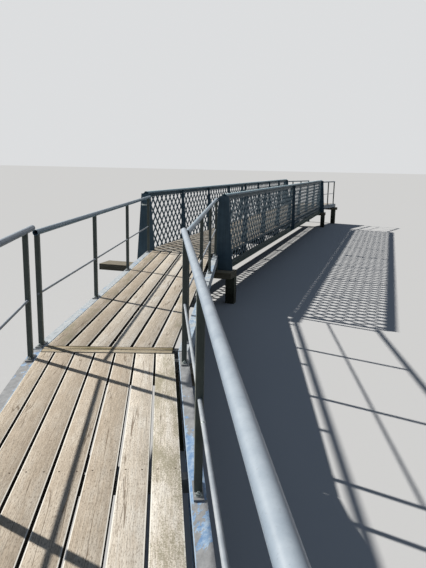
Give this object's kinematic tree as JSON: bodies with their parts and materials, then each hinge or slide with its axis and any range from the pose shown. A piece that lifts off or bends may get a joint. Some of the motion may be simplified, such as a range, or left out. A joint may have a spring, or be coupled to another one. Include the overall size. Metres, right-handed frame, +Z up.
{
  "type": "lattice girder footbridge",
  "caption": "Narrow iron footbridge with lattice parapet girders over a stream and railed steel and timber approaches that bend toward it.",
  "frame": {"origin": "centre of the foot of the right-hand pile under the near end of the main span, at water level", "axes": "+Y along the main span from the near approach to the far one, +X to the right, +Z up"},
  "size_m": [5.8377, 28.2892, 1.94],
  "materials": {
    "girder_paint": "old dark blue paint, dull, rubbed at the edges",
    "rail_paint": "worn blue-grey gloss paint on steel tube",
    "post_paint": "dark grey-green paint",
    "beam_paint": "light blue paint peeling to grey steel",
    "weathered_boards": "sun-bleached bare timber",
    "old_timber": "dark damp timber, greyed at the edges"
  },
  "bodies": {
    "root": {"approach_piles": "old_timber", "bearing_blocks": "old_timber", "cap_beams": "old_timber", "cross_beams": "girder_paint", "far_bearers": "beam_paint", "far_boards": "weathered_boards", "far_edge_beams": "beam_paint", "far_handrails": "rail_paint", "far_left_posts": "post_paint", "far_right_posts": "post_paint", "joint_strip": "weathered_boards", "left_bottom_chord": "girder_paint", "left_end_plates": "girder_paint", "left_lattice_1": "girder_paint", "left_lattice_2": "girder_paint", "left_lattice_3": "girder_paint", "left_lattice_4": "girder_paint", "left_stiffeners": "girder_paint", "left_top_chord": "girder_paint", "main_deck": "weathered_boards", "mid_plates": "girder_paint", "near_bearers": "beam_paint", "near_boards": "weathered_boards", "near_edge_beams": "beam_paint", "near_handrails": "rail_paint", "near_left_posts": "post_paint", "near_right_posts": "post_paint", "right_bottom_chord": "girder_paint", "right_end_plates": "girder_paint", "right_lattice_1": "girder_paint", "right_lattice_2": "girder_paint", "right_lattice_3": "girder_paint", "right_lattice_4": "girder_paint", "right_stiffeners": "girder_paint", "right_top_chord": "girder_paint", "shore_bearers": "beam_paint", "shore_boards": "weathered_boards", "shore_edge_beams": "beam_paint", "shore_handrails": "rail_paint", "shore_left_posts": "post_paint", "shore_right_posts": "post_paint", "sills": "old_timber", "span_piles": "old_timber", "stringers": "old_timber"}
  },
  "joints": []
}
